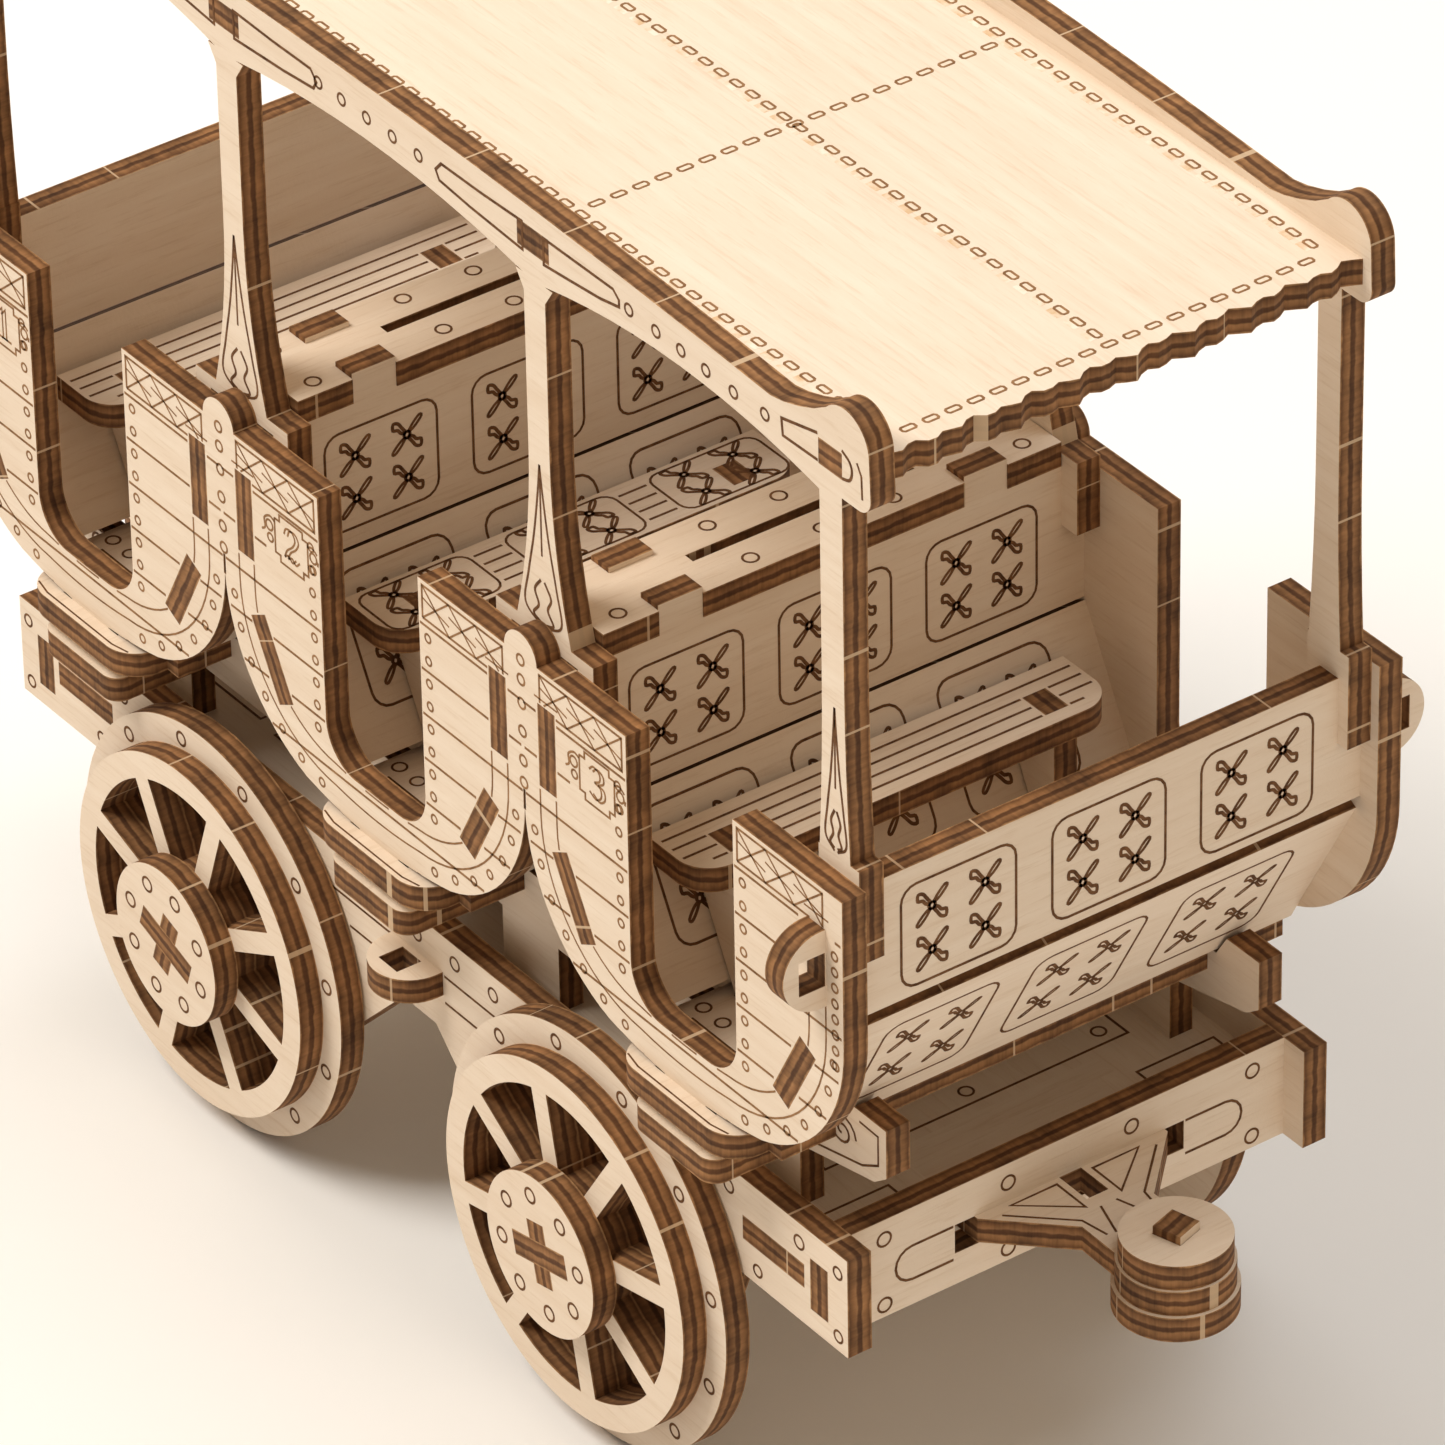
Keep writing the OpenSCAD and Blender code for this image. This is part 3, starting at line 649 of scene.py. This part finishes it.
def draw_slanted_board(node, c, board_side, look):
    """Tufts on a slanted board. look is 1 for the face towards the outside, -1 for the seat's side."""
    along = Vector((board_side * math.sin(TILT), 0, math.cos(TILT)))
    normal = Vector((board_side * math.cos(TILT), 0, -math.sin(TILT))) * look
    centre = Vector((c + board_side * SLANT.x, 0, SLANT.z)) + normal * (PLY / 2)
    art = Drawing(f"burnt_tufts_{node}", node, burnt_face(centre, Y, along, normal))
    height = -3.05 if look > 0 else -1.5
    for k in (-1, 0, 1):
        draw_tufted_square(art, k * TUFT_STEP, height, half_v=7.5, spread_v=3.3)
    art.make()


# ---------------------------------------------------------------- seats, floors, top plates


def draw_seat(node, c, side, tufted):
    low, high = box_mm(node)
    face = burnt_face((c, 0, high.z), (side, 0, 0), Y, Z)
    length = high.y - 0.5
    leg_u, leg_v = (10.2, 14.2), (18.5, 21.5)

    def open_face(u, v):
        return not (leg_u[0] - 0.1 < u < leg_u[1] + 0.1 and leg_v[0] - 0.1 < abs(v) < leg_v[1] + 0.1)

    art = Drawing(f"burnt_slats_{node}", node, face, open_face)
    front, back = 8.5, abs(high.x - c) if side > 0 else abs(low.x - c)
    step = (back - front) / 5
    for k in range(1, 5):
        u = front + k * step
        if not tufted:
            reach = length - (2.4 if k == 1 else 0)
            art.line([(u, -reach), (u, reach)], 0.32)
            continue
        for v in (-0.5, 0.5):
            art.line([(u, TUFT_STEP * v - 1.8), (u, TUFT_STEP * v + 1.8)], 0.32)
    if tufted:
        mid = (front + back) / 2
        for k in (-1, 0, 1):
            v = k * TUFT_STEP
            art.line(round_box(front + 0.7, v - 7.0, back - 0.7, v + 7.0, 1.6), 0.28, True)
            for a in SIDES:
                for b in SIDES:
                    draw_tuft(art, mid + a * 2.0, v + b * 3.2)
    art.make()


def draw_floor(node, c):
    face = burnt_face((c, 0, FLOOR_TOP), X, Y, Z)
    art = Drawing(f"burnt_drawing_{node}", node, face)
    for s in SIDES:
        art.rings([(u, s * 25.2) for u in (-10.3, -7.0, 7.0, 10.3)], 0.8)
        art.line([(-9.6, s * 27.2), (9.6, s * 27.2)], 0.30)
        art.line([(-9.6, s * 29.6), (9.6, s * 29.6)], 0.26)
        art.line([(-8.6, s * 35.9), (-6.2, s * 36.4), (6.2, s * 36.4), (8.6, s * 35.9)], 0.2)
    for k in range(-4, 5):
        art.line([(-11.4, k * 5.0), (11.4, k * 5.0)], 0.28)
    art.make()


def draw_top_plate(node):
    c = middle(node).x
    face = burnt_face((c, 0, box_mm(node)[1].z), X, Y, Z)
    art = Drawing(f"burnt_rings_{node}", node, face)
    for u in (-3.7, 3.7):
        art.rings([(u, v) for v in (-25.5, -9.0, 0, 9.0, 25.5)], 0.85)
    art.make()


# ---------------------------------------------------------------- chassis


def draw_side_beam(side):
    node = "side_beam_right" if side < 0 else "side_beam_left"
    art = Drawing(f"burnt_drawing_{node}", node, burnt_face((0, side * BEAM_OUT, 0), X, Z, (0, side, 0)))
    ring_z = BEAM_TOP - 2.4
    art.rings([(6.9 * k, ring_z) for k in range(-8, 9)], 0.8)
    for s in SIDES:
        art.rings([(s * 67.2, ring_z)], 0.8)
        art.rings([(s * 15.2, 36.6)], 0.8)
        art.line([(s * 4.9, 38.6), (s * 15.6, 38.6)], 0.3)
        art.line([(s * 4.9, 35.2), (s * 12.6, 35.2)], 0.3)
        art.rings([(s * u, 33.3) for u in (52.5, 60.0, 73.7)], 0.7)
        art.rings([(s * 73.7, ring_z)], 0.7)
    art.make()


def draw_end_beam(side):
    node = "end_beam_front" if side > 0 else "end_beam_rear"
    low, high = box_mm(node)
    face = burnt_face((high.x if side > 0 else low.x, 0, 0), Y, Z, (side, 0, 0))
    art = Drawing(f"burnt_drawing_{node}", node, face)
    for s in SIDES:
        art.rings([(s * u, v) for u in (7.9, 23.6) for v in (41.3, 33.0)], 0.85)
        outline = circle_points(s * 20.1, 36.8, 2.1, 9, math.radians(-90), math.radians(180) * s)
        art.line([(s * 14.9, 34.7)] + outline + [(s * 14.9, 38.9)], 0.3)
    art.make()


def draw_deck():
    face = burnt_face((0, 0, DECK_TOP), X, Y, Z)
    art = Drawing("burnt_drawing_chassis_deck", "chassis_deck", face)
    for s in SIDES:
        art.strip([(s * 45.5, -19.5), (s * 56.5, -19.5), (s * 56.5, 19.5), (s * 45.5, 19.5)], 0.3, True)
        for t in SIDES:
            corner_box = ((62.5, 26), (67.4, 26), (67.4, 16), (62.5, 16))
            art.strip([(s * u, t * v) for u, v in corner_box], 0.3, True)
        art.strip([(s * 20, -20), (s * 42, -20), (s * 42, 20), (s * 20, 20)], 0.3, True)
        art.rings([(s * u, v) for u in (47.5, 54.5) for v in (-17.2, 0, 17.2)], 0.8)
    art.make()


def draw_bolster(side):
    node = "bolster_right" if side < 0 else "bolster_left"
    y = box_mm(node)[0].y if side < 0 else box_mm(node)[1].y
    art = Drawing(f"burnt_scroll_{node}", node, burnt_face((0, y, 0), X, Z, (0, side, 0)))
    for s in SIDES:
        spiral = []
        for k in range(27):
            shrink, turn = 1 - k / 30, k * 0.42
            spiral.append((s * (67.2 + 2.4 * shrink * math.cos(turn)), 52.9 + 2.2 * shrink * math.sin(turn)))
        art.line(spiral, 0.3)
        border = [(62.5, 48.6), (70.6, 50.5), (73.3, 52.0), (73.3, 55.6), (70.2, 55.7)]
        art.line([(s * u, v) for u, v in border], FINE)
    art.make()


def draw_tongue(side):
    node = "coupler_tongue_front" if side > 0 else "coupler_tongue_rear"
    art = Drawing(f"burnt_drawing_{node}", node, burnt_face((0, 0, DECK_TOP), (side, 0, 0), Y, Z))
    for s in SIDES:
        art.strip([(72.8, s * 2.3), (77.6, s * 2.3), (72.8, s * 8.2)], 0.28, True)
        art.strip([(73.6, s * 9.9), (79.2, s * 4.0), (82.6, s * 3.4)], 0.26, False)
        art.strip([(78.4, s * 1.0), (82.8, s * 2.4)], 0.26, False)
    art.make()


# ---------------------------------------------------------------- roof


def draw_arcade(side):
    node = "arcade_right" if side < 0 else "arcade_left"
    art = Drawing(f"burnt_drawing_{node}", node, burnt_face((0, side * ARCADE_OUT, 0), X, Z, (0, side, 0)))
    ring_r = 0.65
    for x in (-10.1, -6.0, -1.6, 2.9, 7.4):
        art.ring(x, 141.0, ring_r, FINE)
    outer = [(28.8, 142.0), (40.5, 142.0), (41.5, 141.2), (41.5, 140.4),
             (38.3, 139.8), (33.2, 139.3), (28.8, 138.9)]
    inner = [(25.2, 142.2), (18.1, 142.0), (11.4, 142.0), (10.4, 140.9),
             (11.0, 139.9), (16.3, 139.4), (25.2, 138.9)]
    rings = [(43.1, 140.9), (47.6, 140.7), (51.7, 140.6), (55.8, 140.4), (60.3, 140.2), (65.4, 140.3)]
    frame_end = curve([(77.8, 142.6), (79.0, 141.9), (79.4, 140.9), (79.0, 139.8), (77.8, 139.4)])
    for s in SIDES:
        art.rings([(s * x, z) for x, z in rings], ring_r)
        for lozenge in (outer, inner):
            art.line([(s * u, v) for u, v in lozenge], 0.34, closed=True)
        art.line([(s * u, v) for u, v in ((73.9, 142.6), (68.1, 141.3), (68.3, 139.4), (73.9, 139.5))], 0.34)
        art.line([(s * u, v) for u, v in frame_end], 0.34)
        art.line([(s * 81.0, 138.6), (s * 80.9, 141.2), (s * 80.2, 142.4)], 0.28)
        draw_post_flame(art, s * PITCH / 2, 94.6, 114.5, 3.1)
        draw_post_flame(art, s * 76.1, 94.6, 112.0, 1.7)
    art.make()


def draw_post_flame(art, x, low, high, half):
    """A tall burnt flame that narrows upwards, with a curl at its foot."""
    tall = high - low
    for s in SIDES:
        side_line = [(half * 0.15, 0.02), (half, 0.10), (half * 0.78, 0.30),
                     (half * 0.42, 0.55), (half * 0.16, 0.80), (0, 1)]
        art.line([(x + s * u, low + v * tall) for u, v in curve(side_line)], 0.3)
        curl = [(half * 0.1, 0.30), (half * 0.45, 0.22), (half * 0.25, 0.14),
                (half * 0.55, 0.07), (half * 0.15, 0.04)]
        art.line([(x + s * u, low + v * tall) for u, v in curve(curl)], 0.34)
    art.line([(x, low + tall * 0.45), (x, low + tall * 0.92)], 0.26)


def stitch_places(start, end, step):
    count = max(1, round((end - start) / step))
    return [start + (end - start) * (k + 0.5) / count for k in range(count)]


def draw_roof():
    face = burnt_face((0, 0, ROOF_TOP), X, Y, Z)
    art = Drawing("burnt_stitches_roof", "roof_deck", face, finish="light_line")
    # Painted shadow: faint tan strips on the roof face, one on the same side of every stitch along the long
    # rows.
    painted_shadow = Drawing("painted_stitch_shadows_roof", "roof_deck", face, finish="painted_stitch_shadow", proud=0.015)
    end_x, edge_y = 78.0, 26.6
    for y in (-edge_y, 0, edge_y):
        for u in stitch_places(-end_x + 1, end_x - 1, 2.65):
            art.strip(round_box(u - 0.8, y - 0.4, u + 0.8, y + 0.4, 0.2, 2), 0.28, True)
            # The tan strip just beside this stitch is painted shadow.
            painted_shadow.strip([(u - 0.9, y - 0.75), (u + 0.9, y - 0.75)], 0.9, False)
    for x in (-end_x, -PITCH / 2, PITCH / 2, end_x):
        for v in stitch_places(-edge_y + 1, edge_y - 1, 2.65):
            art.strip(round_box(x - 0.4, v - 0.8, x + 0.4, v + 0.8, 0.2, 2), 0.28, True)
    art.make()
    painted_shadow.make()


# ---------------------------------------------------------------- wheels


def draw_wheelset(end):
    node = f"{end}_hub_caps"
    x = AXLE_X if end == "front" else -AXLE_X
    for side in SIDES:
        name = "right" if side < 0 else "left"
        face = burnt_face((x, side * HUB_OUT, AXLE_Z), X, Z, (0, side, 0))
        art = Drawing(f"burnt_rings_{end}_hub_{name}", node, face)
        for k in range(8):
            a = TURNS[end] + math.radians(45 * k)
            art.ring(6.9 * math.cos(a), 6.9 * math.sin(a), 0.85, 0.28)
        art.make()
        flange = f"{end}_flange_{name}"
        outer_y = side * max(abs(corner.y) for corner in box_mm(flange))
        art = Drawing(f"burnt_rings_{flange}", flange, burnt_face((x, outer_y, AXLE_Z), X, Z, (0, side, 0)))
        for k in range(12):
            a = TURNS[end] + math.radians(30 * k)
            art.ring(22.3 * math.cos(a), 22.3 * math.sin(a), 0.8, 0.3)
        art.make()


# ---------------------------------------------------------------- camera, lights, floor


def make_camera():
    """A long lens from the right front, looking down on the coach's front corner."""
    azimuth, elevation, roll = (math.radians(a) for a in (144.43, 34.55, -1.084))
    target, distance = Vector((12.71, 0, 62.18)) * MM, 1217.2 * MM
    level = math.cos(elevation)
    look = Vector((level * math.cos(azimuth), level * math.sin(azimuth), -math.sin(elevation)))
    right = look.cross(Z).normalized()
    up = right.cross(look)
    rolled_right = right * math.cos(roll) + up * math.sin(roll)
    rolled_up = up * math.cos(roll) - right * math.sin(roll)
    data = bpy.data.cameras.new("camera")
    data.sensor_width = 36
    data.lens = 291.5
    data.clip_end = 20
    camera = bpy.data.objects.new("camera", data)
    camera.matrix_world = Matrix.Translation(target - look * distance) @ Matrix(
        (rolled_right, rolled_up, -look)).transposed().to_4x4()
    bpy.context.scene.collection.objects.link(camera)
    bpy.context.scene.camera = camera


def area_light(name, place, size, watts, colour):
    data = bpy.data.lights.new(name, "AREA")
    data.size, data.energy, data.color = size, watts, colour
    light = bpy.data.objects.new(name, data)
    light.location = place
    light.rotation_euler = (Vector((0, 0, 0.07)) - Vector(place)).to_track_quat("-Z", "Y").to_euler()
    bpy.context.scene.collection.objects.link(light)


def make_stage():
    """A pale sheet of paper under the wheels, and soft warm light from the left of the camera and above."""
    half, z = 3.0, CAD_BOX[0][2]
    mesh = bpy.data.meshes.new("floor")
    corners = [(-half, -half, z), (half, -half, z), (half, half, z), (-half, half, z)]
    mesh.from_pydata(corners, [], [(0, 1, 2, 3)])
    mesh.materials.append(floor_paper())
    floor = bpy.data.objects.new("floor", mesh)
    bpy.context.scene.collection.objects.link(floor)
    area_light("key_light", (-0.55, -0.85, 1.45), 0.8, 24, (1.0, 0.965, 0.905))
    area_light("fill_light", (1.4, -0.2, 0.75), 1.2, 2.6, (1.0, 0.78, 0.55))
    area_light("top_light", (-0.1, 0.55, 1.6), 1.2, 12.5, (0.93, 0.965, 1.0))
    world = bpy.data.worlds.new("studio")
    world.use_nodes = True
    background = world.node_tree.nodes["Background"]
    background.inputs["Color"].default_value = (1.0, 0.85, 0.67, 1)
    background.inputs["Strength"].default_value = 0.33
    bpy.context.scene.world = world
    bpy.context.scene.view_settings.view_transform = "Standard"


# ---------------------------------------------------------------- build

MATERIALS = {"burnt_line": burnt_line(), "painted_stitch_shadow": painted_stitch_shadow(),
             "light_line": burnt_line("light_line", (0.185, 0.090, 0.038), (0.35, 0.190, 0.088))}
NODE_BODY = {node: body for body, nodes in frame["record"]["behaviour"]["bodies"].items() for node in nodes}

make_camera()
make_stage()
dress_cad_nodes()
for side_of_coach in SIDES:
    draw_side_panel(side_of_coach)
    draw_side_beam(side_of_coach)
    draw_end_beam(side_of_coach)
    draw_bolster(side_of_coach)
    draw_tongue(side_of_coach)
    draw_arcade(side_of_coach)
draw_upright_board("end_board_front", 1)
draw_upright_board("end_board_rear", -1)
draw_upright_board("backrest_1_front", -1)
draw_upright_board("backrest_2_rear", 1)
draw_upright_board("backrest_2_front", -1)
draw_upright_board("backrest_3_rear", 1)
draw_slanted_board("end_lower_board_front", PITCH, 1, 1)
draw_slanted_board("end_lower_board_rear", -PITCH, -1, 1)
for number, compartment_x in enumerate(COMPARTMENTS, 1):
    if number > 1:
        draw_slanted_board(f"lower_board_{number}_rear", compartment_x, -1, -1)
    if number < 3:
        draw_slanted_board(f"lower_board_{number}_front", compartment_x, 1, -1)
    for side_name, seat_side in (("rear", -1), ("front", 1)):
        draw_seat(f"seat_{number}_{side_name}", compartment_x, seat_side, number == 2)
    draw_floor(f"floor_{number}", compartment_x)
draw_top_plate("top_plate_rear")
draw_top_plate("top_plate_front")
draw_deck()
draw_roof()
draw_wheelset("front")
draw_wheelset("rear")
